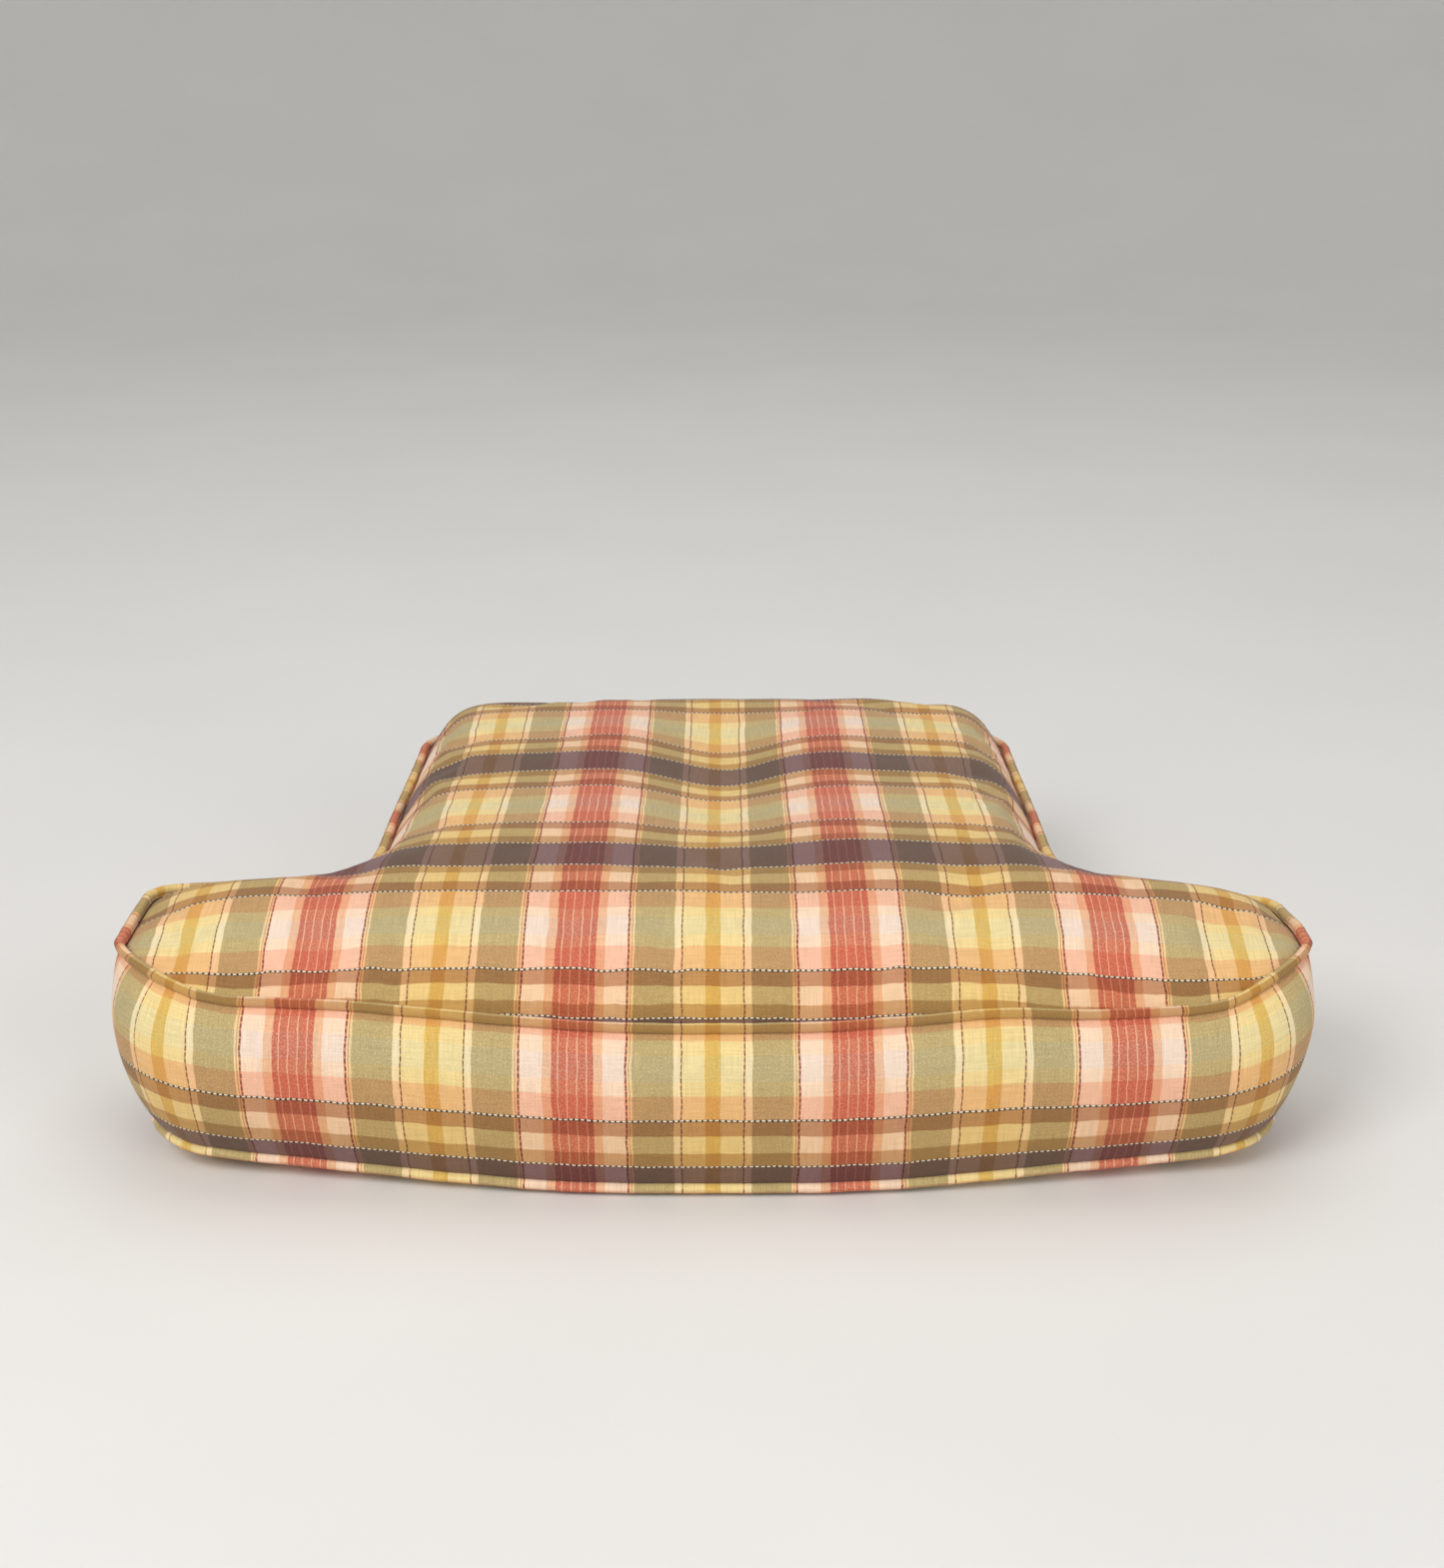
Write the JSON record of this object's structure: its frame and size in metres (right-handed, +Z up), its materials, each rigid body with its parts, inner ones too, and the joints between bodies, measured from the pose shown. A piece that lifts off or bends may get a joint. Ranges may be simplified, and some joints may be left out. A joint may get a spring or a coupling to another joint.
{
  "type": "seat cushion",
  "caption": "Loose T-shaped seat cushion: crowned, boxed and welted plaid cover over a foam and fibre filling, with a zip across the rear boxing.",
  "frame": {"origin": "middle of the footprint, on the surface that the cushion lies on", "axes": "+Z up, the sitter's front faces -Y, +X along the width across the two front ears"},
  "size_m": [0.816, 0.594, 0.17],
  "materials": {
    "plaid_cloth": "woven cotton plaid in red, mustard, olive, peach and charcoal, matte",
    "plaid_welt": "the same plaid wrapped round a cord, matte",
    "welt_cord": "twisted white cotton cord",
    "foam": "open-cell flexible foam, cream",
    "fibre": "white bonded polyester fibre",
    "zip_tape": "woven tape, tan",
    "zip_coil": "nylon coil, tan brown",
    "zip_metal": "antique brass, lightly polished",
    "thread": "sewing thread, tan"
  },
  "bodies": {
    "cushion": {"foam_core": "foam", "fibre_wrap": "fibre", "upper_crown_pad": "fibre", "lower_crown_pad": "fibre", "top_panel": "plaid_cloth", "bottom_panel": "plaid_cloth", "front_boxing": "plaid_cloth", "left_boxing": "plaid_cloth", "right_boxing": "plaid_cloth", "upper_zip_boxing": "plaid_cloth", "lower_zip_boxing": "plaid_cloth", "top_welt_cover": "plaid_welt", "bottom_welt_cover": "plaid_welt", "top_welt_cord": "welt_cord", "bottom_welt_cord": "welt_cord", "upper_zip_tape": "zip_tape", "lower_zip_tape": "zip_tape", "upper_zip_coil": "zip_coil", "lower_zip_coil": "zip_coil", "zip_top_stops": "zip_metal", "zip_bottom_stop": "zip_metal", "upper_zip_stitching": "thread", "lower_zip_stitching": "thread"},
    "slider": {"zip_slider": "zip_metal"},
    "pull": {"zip_pull": "zip_metal"}
  },
  "joints": [
    {"name": "zip_travel", "type": "slide", "parent": "cushion", "child": "slider", "axis": [-1, 0, 0], "range_m": [0, 0.35]},
    {"name": "pull_swing", "type": "hinge", "parent": "slider", "child": "pull", "pos_m": [0.185, 0.2945, 0.066], "axis": [0, 0, -1], "range_deg": [0, 150]}
  ]
}
